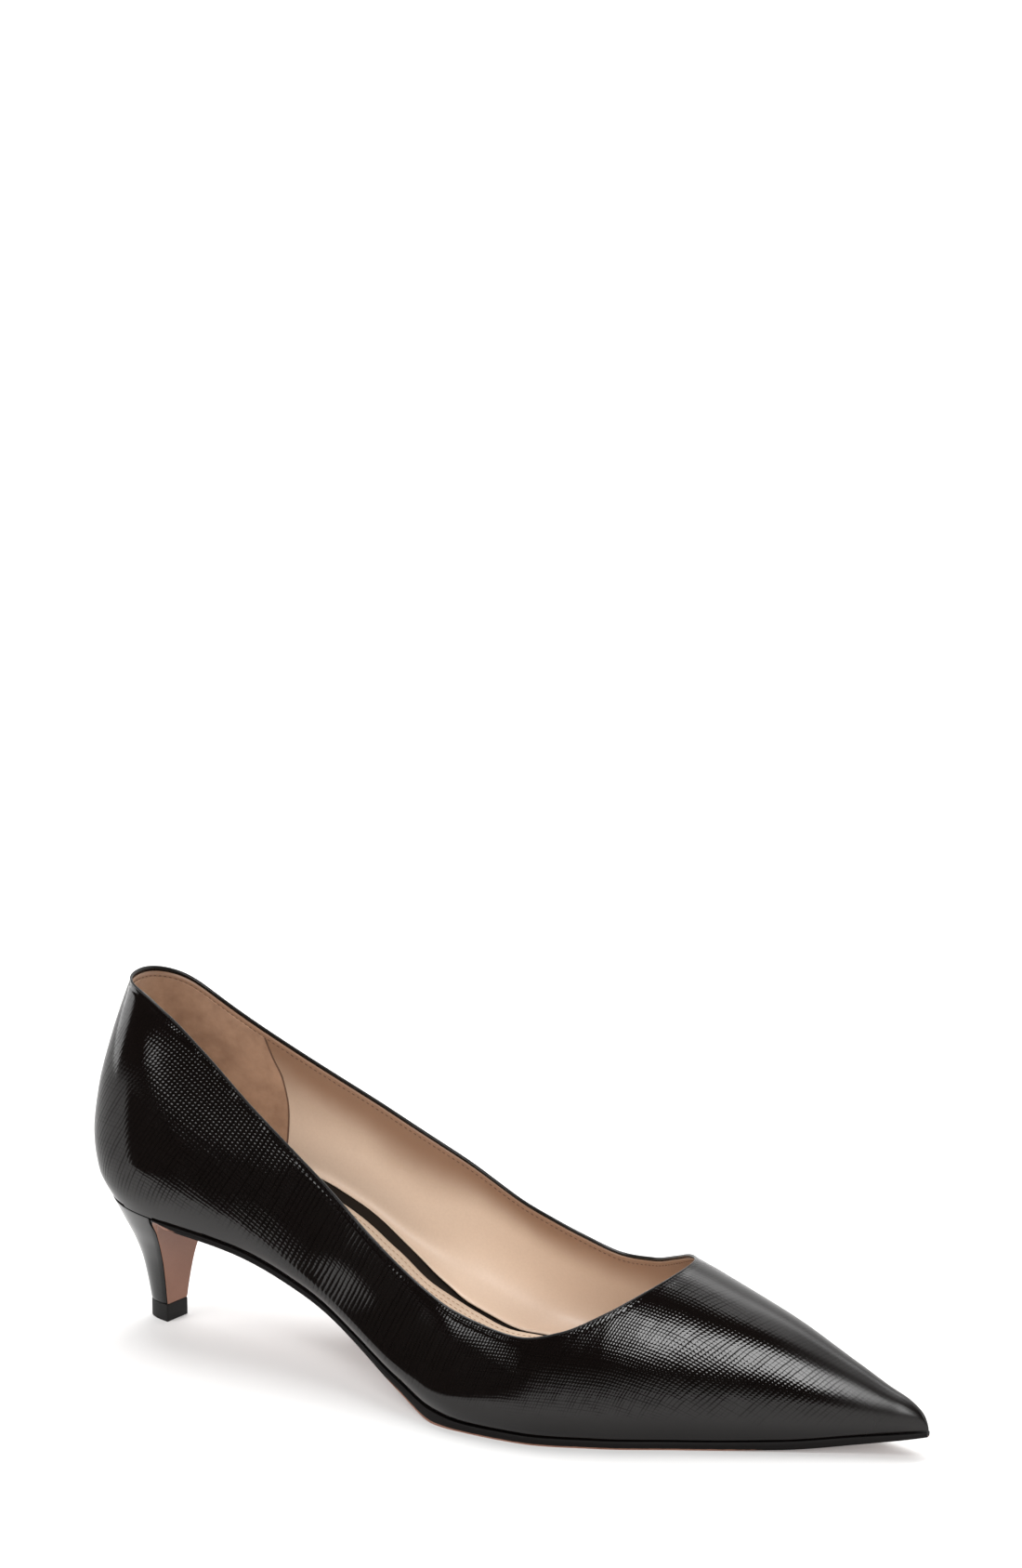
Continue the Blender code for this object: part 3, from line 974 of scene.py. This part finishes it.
def make_lining():
    """Beige lining of the wall, flowing in over the insole at its foot."""
    walls = []
    for x, side in around(MEDIUM):
        section = Section(x, LINING_INSET)
        top = topline_tau(x, side)
        foot = section.tau_at(floor_rise(x) + fillet(x))
        if x < APEX:
            top = drop_below(section, side, top, LINING_DROP)
        walls.append([section.point(side, tau) for tau in spread(top, foot, LINING_ROWS)])
    rows = []
    n = len(walls)
    for k, (x, side) in enumerate(around(MEDIUM)):
        foot = walls[k][-1]
        ahead = walls[(k + 1) % n][-1] - walls[k - 1][-1]
        if k in (0, n - 1):
            ahead = Vector((0.0, -1.0, 0.0))
        inward = Vector((-ahead.y, ahead.x, 0.0)).normalized()
        section = Section(x, WALL)
        end = section.point(side, section.tau_at(floor_rise(x))) + inward * lining_flow(x)
        end.z = foot.z - fillet(x) + FLOOR_LIFT
        row = list(walls[k])
        fall = foot - row[-2]
        corner = foot + fall * ((end.z - foot.z) / fall.z)
        for t in spread(0.0, 1.0, FOOT_ROWS)[1:]:
            row.append(foot * (1 - t) ** 2 + corner * (2 * t * (1 - t)) + end * t ** 2)
        rows.append(row)
    deep = LINING_ROWS + FOOT_ROWS
    uv = [[(k / UV_SPAN, r / deep / UV_SPAN) for r in range(deep + 1)] for k in range(n)]
    piece = lay_grid("lining", rows, uv=uv)
    settle_lining(piece)
    finish_piece(piece, lining_leather(), "sock_leather", angle=180.0)


def fillet(x):
    """Height at which the lining begins to turn in over the insole."""
    return FILLET + FILLET_FLOW * lining_flow(x)


# Soft folds of the lining: x, height above the floor, length along x, width, depth
FOLDS = (
    (78.0, 44.0, 26.0, 6.0, 0.22),
    (94.0, 34.0, 24.0, 6.0, -0.2),
    (114.0, 24.0, 20.0, 6.0, 0.18),
    (60.0, 58.0, 24.0, 7.0, -0.2),
)
FOLD_SLANT = 0.45


def settle_lining(piece):
    """Gives the lining its soft folds, then a thickness behind it."""
    for vertex in piece.data.vertices:
        spot = vertex.co / MM - SHIFT
        lift = 0.0
        for x, z, long, wide, depth in FOLDS:
            slant = (spot.z - z) + FOLD_SLANT * (spot.x - x)
            lift += depth * math.exp(-((spot.x - x) / long) ** 2 - (slant / wide) ** 2)
        vertex.co.y -= math.copysign(lift, spot.y) * MM
    thicken(piece, LINING_THICK)


GRIP_INSET = LINING_INSET + 0.35
GRIP_TOP = 2.0
GRIP_FOOT = 0.5
GRIP_MIDDLE = 70.0
GRIP_THICK = 0.5
GRIP_ROWS = 30
GRIP_STEPS = 40


def make_heel_grip():
    """Suede patch inside the back, with a curved front edge on each side."""
    halves = []
    for side in (-1, 1):
        halves.append([[grip_point(q, r, side) for r in spread(0.0, 1.0, GRIP_ROWS)]
                       for q in spread(0.0, 1.0, GRIP_STEPS)])
    piece = lay_grid("heel_grip", halves[0][::-1] + halves[1][1:])
    thicken(piece, GRIP_THICK)
    finish_piece(piece, suede(), "sock_leather", angle=60.0)


def grip_point(q, r, side):
    """Point of the grip: q from the back seam to its front edge, r from its top to its foot."""
    crowd = 1 - math.cos(q * math.pi / 2)
    x = crowd * grip_front(GRIP_MIDDLE)
    for _ in range(4):
        section = Section(x, GRIP_INSET)
        top = section.point(side, topline_tau(x, side)).z - GRIP_TOP
        low = section.seam + floor_rise(x) + GRIP_FOOT
        z = top + (low - top) * r
        x = crowd * grip_front(z)
    section = Section(x, GRIP_INSET)
    return section.point(side, section.tau_at(z - section.seam))


STITCH_PITCH = 1.6
STITCH_LENGTH = 1.0
STITCH_THICK = 0.3
STITCH_DROP = 1.5


def make_stitches(name, path, material, slot):
    """A row of stitches along a path of (point, normal): one bead, copied along it and joined."""
    bpy.ops.object.select_all(action="DESELECT")
    bpy.ops.mesh.primitive_uv_sphere_add(segments=8, ring_count=6, radius=0.5, location=(0, 0, 0))
    bead = bpy.context.object
    corners = [v.co.copy() for v in bead.data.vertices]
    faces = [tuple(p.vertices) for p in bead.data.polygons]
    bpy.data.objects.remove(bead)
    points = []
    polygons = []
    due = STITCH_PITCH / 2
    walked = 0.0
    for (a, normal), (b, _) in zip(path, path[1:]):
        step = (b - a).length
        while step > 0 and walked + step >= due:
            spot = a + (b - a) * ((due - walked) / step)
            along = (b - a).normalized()
            across = normal.cross(along).normalized()
            turn = Matrix((along * STITCH_LENGTH, across * STITCH_THICK, normal * STITCH_THICK)).transposed()
            base = len(points)
            points += [place(spot + turn @ c) for c in corners]
            polygons += [tuple(base + k for k in face) for face in faces]
            due += STITCH_PITCH
        walked += step
    mesh = bpy.data.meshes.new(name)
    mesh.from_pydata(points, [], polygons)
    piece = bpy.data.objects.new(name, mesh)
    bpy.context.scene.collection.objects.link(piece)
    finish_piece(piece, material, slot, angle=180.0)


def lining_stitch_path():
    """The stitch line on the lining, a little below the collar's edge."""
    path = []
    for x, side in around([x for x in FINE if x <= APEX - 0.4]):
        section = Section(x, LINING_INSET)
        tau = drop_below(section, side, topline_tau(x, side), STITCH_DROP + LINING_DROP)
        spot = section.point(side, tau)
        lean = Section(x, LINING_INSET + 1.0).point(side, tau) - spot
        path.append((spot, lean.normalized()))
    return path


def drop_below(section, side, tau, drop):
    """tau at a distance below the wall's edge."""
    top = section.point(side, tau)
    low = section.point(side, tau - 0.02)
    return tau - 0.02 * drop / max((top - low).length, 1e-6)


SOCK_RING = stations(24, 60, 20, 2, 4, 4)
SOCK_ROUND = 12.0
SOCK_STITCH = (2.4, 4.6)
SOCK_CROWN = 1.12
STITCH_SEAT = 0.85
# Sock from its edge in: distance, height of the top as a share of its thickness; a groove at each stitch line
SOCK_RIM = ((0.0, 0.15), (0.1, 0.5), (0.3, 0.8), (0.6, 0.95), (1.0, 1.0))
SOCK_GROOVE = ((-0.8, 1.0), (-0.4, 0.92), (0.0, 0.8), (0.4, 0.92), (0.8, 1.0))
SOCK_PROFILE = [*SOCK_RIM, *((s + d, share) for s in SOCK_STITCH for d, share in SOCK_GROOVE), (6.0, 1.03)]


def sock_point(x, side, inward, height):
    """Point of the sock, by its distance inside the sock's edge and its height above the insole."""
    reach = SOCK_END - SOCK_ROUND
    inset = WALL + GAP + sock_inset(x) + inward
    section = Section(x, inset)
    spot = section.point(side, min(section.tau_at(floor_rise(x) + GAP), 0.0))
    if x > reach:
        shut = math.sqrt(max(0.0, 1 - ((x - reach) / SOCK_ROUND) ** 2))
        spot.y = section.centre + (spot.y - section.centre) * shut
    spot.z = section.seam + floor_rise(x) + GAP + height
    return spot


def make_sock():
    xs = [x for x in SOCK_RING if x < SOCK_END - SOCK_ROUND]
    xs += [SOCK_END - SOCK_ROUND * (1 - math.sin(math.radians(a))) for a in spread(0, 90, 8)]
    rows = []
    for x, side in around(xs):
        middle = sock_point(x, side, SOCK_PROFILE[-1][0], 0.0)
        section = Section(x, WALL + GAP + sock_inset(x))
        middle.y = section.centre
        row = [middle.copy()]
        row.append(sock_point(x, side, 0.0, 0.0))
        for inward, share in SOCK_PROFILE:
            row.append(sock_point(x, side, inward, share * SOCK_THICK))
        middle.z += SOCK_CROWN * SOCK_THICK
        row += line(row[-1], middle, 8)[1:]
        rows.append(row)
    piece = lay_grid("sock_leather", rows)
    face_outward(piece)
    finish = leather("beige_sock_leather", (0.50, 0.395, 0.30), (0.44, 0.335, 0.25), 0.36, 0.03)
    finish_piece(piece, finish, "sock_leather", "sock", angle=60.0)


def sock_stitch_path(inward):
    path = []
    for x, side in around([x for x in FINE if x < SOCK_END - SOCK_ROUND]):
        path.append((sock_point(x, side, inward, STITCH_SEAT * SOCK_THICK), Vector((0.0, 0.0, 1.0))))
    return path


def make_insole():
    """Dark covered insole that shows between the lining's foot and the sock."""
    rows = []
    for x, side in around(MEDIUM):
        section = Section(x, WALL + GAP)
        rise = floor_rise(x)
        edge = section.point(side, min(section.tau_at(rise), 0.0))
        base = section.point(side, -1.0)
        top = Vector((edge.x, section.centre, edge.z))
        low = Vector((base.x, section.centre, base.z))
        rows.append(line(low, base, 4) + line(base, edge, 3)[1:] + line(edge, top, 10)[1:])
    piece = lay_grid("insole_cover", rows)
    face_outward(piece)
    finish = leather("dark_insole_cover", (0.010, 0.007, 0.005), (0.006, 0.004, 0.003), 0.6, 0.02, 0.15)
    finish_piece(piece, finish, "insole_cover", "insole", angle=60.0)


# Sole and heel


# Edge of the sole: how far it swells out, share of the way down
SOLE_EDGE = ((0.1, 0.06), (0.2, 0.2), (0.22, 0.45), (0.16, 0.7), (0.02, 0.85))
SOLE_ACROSS = 32
BREAST = (BREAST_NEAR + BREAST_FAR) / 2
FLAP_STEPS = 48
CORNER = 2.6
FLAP_SHEET = 0.35
# Share of the heel's height over which the flap's thin sheet turns into the sole
SHEET_ENDS = (0.82, 0.97)
# Sole's bend into the flap: place ahead of the breast, then forward, down and inset of the lower face
BEND_START = 8.0
BEND = (
    (5.5, 0.0, 0.0, 0.0),
    (3.0, 0.0, 0.0, 1.2),
    (1.0, 0.7, 0.8, CORNER),
)
# Where the paint of the sole's edge changes, as soft steps along x
ARCH_STARTS = (26.0, 40.0)
ARCH_ENDS = (98.0, 112.0)
TOE_PAINT = (190.0, 225.0)
BREAST_PAINT = (24.0, 40.0)
PAINT_SOFT = 0.34


def sole_ring(top_near, top_far, low_near, low_far):
    """Closed ring of a sole section: over the top, down the far edge, underneath and up the near edge."""
    out = (top_far - top_near).normalized()
    ring = line(top_near, top_far, SOLE_ACROSS)
    ring += [top_far + (low_far - top_far) * t + out * swell for swell, t in SOLE_EDGE]
    ring += line(low_far, low_near, SOLE_ACROSS)
    ring += [low_near + (top_near - low_near) * (1 - t) - out * swell for swell, t in SOLE_EDGE[::-1]]
    return ring + ring[:1]


def sole_ring_paint(width, bare, painted):
    """Distance from the paint at each point of the ring; painted is the share of the edge kept black."""
    top = [0.0] * (SOLE_ACROSS + 1)
    edge = [bare * smooth(t, painted, painted + PAINT_SOFT) for _, t in SOLE_EDGE]
    low = [min(s, 1 - s) * width + bare for s in spread(0.0, 1.0, SOLE_ACROSS)]
    return top + edge + low + edge[::-1] + top[:1]


def corner_cut(down):
    """How far the sides of the flap stand in, which rounds off its top corners."""
    left = min(max(0.0, 1 - down / CORNER), 1.0)
    return CORNER * (1 - math.sqrt(1 - left * left))


def flap_sheet(height):
    """How far forward the heel's lip carries the flap, which is thin below the sole's bend."""
    return (FLAP_THICK - FLAP_SHEET) * (1 - smooth(height, *SHEET_ENDS))


def sole_ends(x):
    """Near and far end of the sole's top face at a station, skewed along the breast."""
    fade = max(0.0, 1 - (x - BREAST_FAR) / SKEW_REACH)
    skew = (BREAST_FAR - BREAST_NEAR) / 2 * fade ** 2
    ends = []
    for side in (-1, 1):
        at = min(max(x + side * skew, BREAST + side * skew), LENGTH)
        spot = Section(min(at, LENGTH - SOLE_TIP_INSET)).point(side, -1.0)
        tip = max(0.0, (x - SOLE_TIP_START) / (LENGTH - SOLE_TIP_START)) ** 2
        ends.append(spot + Vector((SOLE_TIP * tip, side * SOLE_MARGIN, -GAP)))
    return ends


def sole_rows():
    """Corners of the sole's top and lower face, from the toe to its bend at the breast."""
    rows = []
    for x in reversed([x for x in FINE if x > BREAST + BEND_START]):
        near, far = sole_ends(x)
        thick = sole_thickness(x)
        lows = [Vector((p.x, p.y, max(0.0, p.z - thick))) for p in (near, far)]
        rows.append((near, far, *lows))
    for ahead, forward, down, inset in BEND:
        near, far = sole_ends(BREAST + ahead)
        fall = Vector((forward, 0.0, -sole_thickness(BREAST + ahead) - down))
        side_in = Vector((0.0, inset, 0.0))
        rows.append((near, far, near + fall + side_in, far + fall - side_in))
    return rows


def flap_row(k, top):
    """Corners of the flap's inner and outer face at a place along it, below the height of its top."""
    inner = flap_inner(k)
    outer = flap_outer(k)
    lift = FLAP_LIFT * smooth(k, FLAP[-2][0], FLAP[-1][0])
    side_in = FLAP_INSET + corner_cut(top - heel_ring(-1, outer)[0].z)
    row = []
    for height, forward in ((inner, GAP + flap_sheet(inner)), (outer, GAP + FLAP_THICK)):
        a = heel_ring(-1, height)[0]
        b = heel_ring(1, height)[0]
        share = side_in / (b - a).length
        row += [a + (b - a) * s + Vector((forward, 0.0, lift)) for s in (share, 1 - share)]
    return row


def make_outsole():
    rows = sole_rows()
    top = rows[-1][2].z
    rows += [flap_row(k, top) for k in spread(0.0, FLAP[-1][0], FLAP_STEPS)]
    uv = []
    for k, (near, far, _, _) in enumerate(rows):
        arch = smooth(near.x, *ARCH_STARTS) - smooth(near.x, *ARCH_ENDS)
        bare = (EDGE_PAINT + PAINT_FADE) * (1 - arch) * (1 - 0.6 * smooth(near.x, *TOE_PAINT))
        painted = 0.1 + 0.5 * smooth(near.x, *BREAST_PAINT)
        inward = sole_ring_paint((far - near).length, bare, painted)
        uv.append([(k / UV_SPAN, d / UV_SPAN) for d in inward])
    piece = lay_grid("outsole_leather", [sole_ring(*row) for row in rows], uv=uv)
    close_solid(piece)
    finish_piece(piece, sole_leather(), "sole_leather", "outsole", angle=45.0)


HEEL_STEPS = 36
HEEL_ROWS = 44
# Places along each side of the heel's outline, from the breast to the back
HEEL_ARC = [1 - math.cos(math.radians(a)) for a in spread(90, 0, HEEL_STEPS)]
# Lip of the heel's cover beside the flap, and the share of the heel's height over which it ends
LIP = GAP + FLAP_THICK - FLAP_SHEET - 0.05
LIP_ENDS = (0.8, 0.95)


def seat_edge(side):
    corner = BREAST_NEAR if side < 0 else BREAST_FAR
    edge = [Section(corner * s).point(side, -1.0) for s in HEEL_ARC]
    return [p - Vector((0.0, 0.0, GAP)) for p in edge]


def foot_edge(side, front=0.0, margin=0.0):
    ahead = Vector((math.cos(FOOT_TURN), -math.sin(FOOT_TURN), 0.0))
    across = Vector((math.sin(FOOT_TURN), math.cos(FOOT_TURN), 0.0))
    edge = []
    for s in HEEL_ARC:
        back = (FOOT_LENGTH - front + 2 * margin) * (s - 1) + margin - front
        out = side * (FOOT_HALF + margin) * (1 - (1 - s) ** FOOT_SQUARE) ** (1 / FOOT_SQUARE)
        edge.append(Vector((*FOOT_FRONT, 0.0)) + ahead * back + across * out)
    return edge


def heel_ring(side, height):
    share = heel_flare(height)
    ring = []
    for low, high in zip(foot_edge(side, GAP + FLAP_THICK), seat_edge(side)):
        spot = low + (high - low) * share
        spot.z = HEEL_FOOT + (high.z - HEEL_FOOT) * height
        ring.append(spot)
    return ring


def whole_ring(near, far):
    """Closed outline from the near breast corner round the back to the far one and along the breast."""
    ring = near + list(reversed(far[:-1]))
    return ring + line(far[0], near[0], 8)[1:]


def lipped_ring(side, height):
    """Outline of the cover, drawn forward beside the flap."""
    ring = heel_ring(side, height)
    lip = LIP * (1 - smooth(height, *LIP_ENDS))
    return [ring[0] + Vector((lip, 0.0, 0.0))] + ring


def make_heel():
    rows = [whole_ring(lipped_ring(-1, h), lipped_ring(1, h)) for h in spread(0.0, 1.0, HEEL_ROWS)]
    piece = lay_grid("heel_cover", rows)
    close_solid(piece)
    soften(piece, 0.5)
    finish_piece(piece, plain_black("black_smooth_cover", 0.12, 0.008, 1.38), "heel_cover", "heel")


def make_top_piece():
    near, far = (foot_edge(side, 0.0, TOP_PIECE_MARGIN) for side in (-1, 1))
    outline = whole_ring(near, far)
    rows = [outline, [p + Vector((0.0, 0.0, TOP_PIECE_HEIGHT)) for p in outline]]
    piece = lay_grid("heel_top_piece", rows)
    close_solid(piece)
    soften(piece, 0.3)
    finish_piece(piece, rubber(), "heel_tip", "top_piece")


# Studio


SWEEP_FRONT = -1.6
SWEEP_BEND = 1.25
SWEEP_RADIUS = 0.6
SWEEP_TOP = 3.3
SWEEP_HALF = 3.2


def make_studio():
    """White sweep: a floor that ends in front of the shoe and curves up behind it."""
    profile = [(y, 0.0) for y in spread(SWEEP_FRONT, SWEEP_BEND, 4)]
    for a in spread(0.0, math.pi / 2, 16)[1:]:
        profile.append((SWEEP_BEND + SWEEP_RADIUS * math.sin(a), SWEEP_RADIUS * (1 - math.cos(a))))
    profile.append((SWEEP_BEND + SWEEP_RADIUS, SWEEP_TOP))
    sweep = add_grid("studio_sweep", 3, len(profile))
    for k, vertex in enumerate(sweep.data.vertices):
        y, z = profile[k // 3]
        vertex.co = Vector(((k % 3 - 1) * SWEEP_HALF, y, z))
    bpy.ops.object.shade_smooth()
    sweep.data.materials.append(paper_white())


# Edge of the flag toward the shoe, in metres from left to right: x, y
FLAG_EDGE = (
    (-0.9, -0.75), (-0.19, -0.11), (-0.125, -0.096), (-0.1, -0.064), (-0.08, -0.043),
    (-0.06, -0.04), (-0.02, -0.046), (0.015, -0.066), (0.04, -0.11), (0.07, -0.15),
    (0.12, -0.175), (0.9, -0.175),
)


FLAG_FRONT = -1.5
FLAG_LIFT = 0.003


def make_flag():
    """Black card on the floor before the shoe, which darkens its gloss; the camera doesn't see it."""
    count = len(FLAG_EDGE)
    flag = add_grid("black_flag", count, 2)
    for k, vertex in enumerate(flag.data.vertices):
        x, y = FLAG_EDGE[k % count]
        vertex.co = Vector((x, y if k >= count else FLAG_FRONT, FLAG_LIFT))
    flag.visible_camera = False
    flag.visible_diffuse = False
    flag.visible_shadow = False
    flag.data.materials.append(plain_black("flag_cloth", 0.9, 0.01))


# Softboxes: name, azimuth and elevation from the shoe in degrees, distance, width, height, watts
SOFTBOXES = (
    ("front_softbox", -52.0, 27.5, 2.0, 0.58, 1.1, 25.0),
    ("top_softbox", 40.0, 68.0, 1.5, 1.3, 0.5, 4.5),
    ("left_panel", 174.0, 2.0, 1.2, 1.0, 0.5, 6.5),
    ("left_softbox", -126.0, 45.0, 1.6, 0.6, 0.6, 16.0),
    ("quarter_strip", -116.0, 6.0, 1.6, 0.35, 0.16, 1.0),
    ("back_softbox", 85.0, 52.5, 1.5, 1.2, 0.4, 6.5),
    ("key_softbox", 140.0, 72.0, 1.5, 0.9, 0.9, 28.0),
)
AIM = Vector((0.0, 0.0, 0.04))


def make_lights():
    for name, azimuth, elevation, distance, width, height, watts in SOFTBOXES:
        a = math.radians(azimuth)
        e = math.radians(elevation)
        away = Vector((math.cos(a) * math.cos(e), math.sin(a) * math.cos(e), math.sin(e)))
        data = bpy.data.lights.new(name, "AREA")
        data.shape = "RECTANGLE"
        data.size = width
        data.size_y = height
        data.energy = watts
        light = bpy.data.objects.new(name, data)
        light.location = AIM + away * distance
        light.rotation_euler = away.to_track_quat("Z", "Y").to_euler()
        light.visible_camera = False
        bpy.context.scene.collection.objects.link(light)
    world = bpy.data.worlds.new("studio_dark")
    world.use_nodes = True
    world.node_tree.nodes["Background"].inputs["Color"].default_value = colour(0.05, 0.05, 0.052)
    bpy.context.scene.world = world
    bpy.context.scene.view_settings.view_transform = "Standard"


def make_camera():
    data = bpy.data.cameras.new("photo_camera")
    data.sensor_fit = "VERTICAL"
    data.sensor_height = 36.0
    data.lens = CAMERA_LENS
    camera = bpy.data.objects.new("photo_camera", data)
    camera.location = CAMERA_PLACE
    camera.rotation_euler = (math.pi / 2 - CAMERA_ELEVATION, 0.0, CAMERA_AZIMUTH)
    bpy.context.scene.collection.objects.link(camera)
    bpy.context.scene.camera = camera


def main():
    make_camera()
    make_upper_skin()
    make_topline_roll()
    make_lining()
    make_heel_grip()
    brown = thread("brown_thread", (0.15, 0.084, 0.05), (0.08, 0.043, 0.026))
    make_stitches("topline_stitches", lining_stitch_path(), brown, "sock_leather")
    make_insole()
    make_sock()
    beige = thread("beige_thread", (0.36, 0.23, 0.15), (0.22, 0.13, 0.08))
    for name, inward in zip(("outer", "inner"), SOCK_STITCH):
        make_stitches(f"sock_stitches_{name}", sock_stitch_path(inward), beige, "sock_leather")
    make_outsole()
    make_heel()
    make_top_piece()
    make_studio()
    make_flag()
    make_lights()


main()
